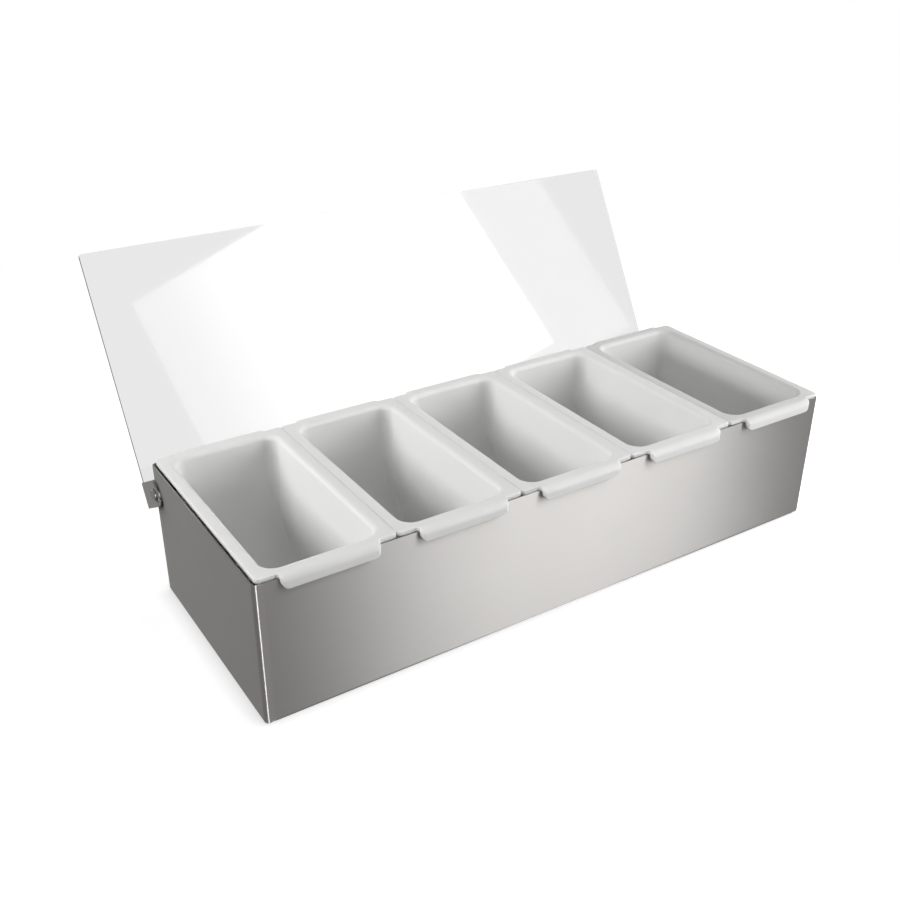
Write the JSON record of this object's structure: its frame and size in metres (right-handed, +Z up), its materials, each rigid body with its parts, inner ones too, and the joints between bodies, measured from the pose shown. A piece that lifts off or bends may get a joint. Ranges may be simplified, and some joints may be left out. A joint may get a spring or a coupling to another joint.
{
  "type": "condiment caddy",
  "caption": "Long stainless steel countertop caddy holding a row of lift-out white plastic tubs, with a clear flat lid hinged on brackets at its ends.",
  "frame": {"origin": "middle of the case's flat underside, on the surface it stands on", "axes": "+X along the row of tubs to the right as seen from the front, +Y to the back, where the lid is hinged, +Z up"},
  "size_m": [0.3908, 0.2342, 0.1811],
  "materials": {
    "stainless_sheet": "satin",
    "rivet_steel": "polished",
    "tub_plastic": "satin",
    "clear_plastic": "gloss"
  },
  "bodies": {
    "case": {"case_wrap": "stainless_sheet", "left_end_panel": "stainless_sheet", "right_end_panel": "stainless_sheet", "left_pivot_rivet": "rivet_steel", "right_pivot_rivet": "rivet_steel", "left_pivot_washer": "rivet_steel", "right_pivot_washer": "rivet_steel"},
    "lid": {"lid_panel": "clear_plastic", "left_hinge_bracket": "stainless_sheet", "right_hinge_bracket": "stainless_sheet", "lid_rivet_1": "rivet_steel", "lid_rivet_2": "rivet_steel", "lid_rivet_3": "rivet_steel", "lid_rivet_4": "rivet_steel"},
    "tub_1": {"tub_1": "tub_plastic"},
    "tub_2": {"tub_2": "tub_plastic"},
    "tub_3": {"tub_3": "tub_plastic"},
    "tub_4": {"tub_4": "tub_plastic"},
    "tub_5": {"tub_5": "tub_plastic"}
  },
  "joints": [
    {"name": "lid_hinge", "type": "hinge", "parent": "case", "child": "lid", "pos_m": [0, 0.065, 0.068], "axis": [-1, 0, 0], "range_deg": [-122.2, 0]},
    {"name": "tub_1_lift", "type": "slide", "parent": "case", "child": "tub_1", "axis": [0, 0, 1], "range_m": [0, 0.095]},
    {"name": "tub_2_lift", "type": "slide", "parent": "case", "child": "tub_2", "axis": [0, 0, 1], "range_m": [0, 0.095]},
    {"name": "tub_3_lift", "type": "slide", "parent": "case", "child": "tub_3", "axis": [0, 0, 1], "range_m": [0, 0.095]},
    {"name": "tub_4_lift", "type": "slide", "parent": "case", "child": "tub_4", "axis": [0, 0, 1], "range_m": [0, 0.095]},
    {"name": "tub_5_lift", "type": "slide", "parent": "case", "child": "tub_5", "axis": [0, 0, 1], "range_m": [0, 0.095]}
  ]
}
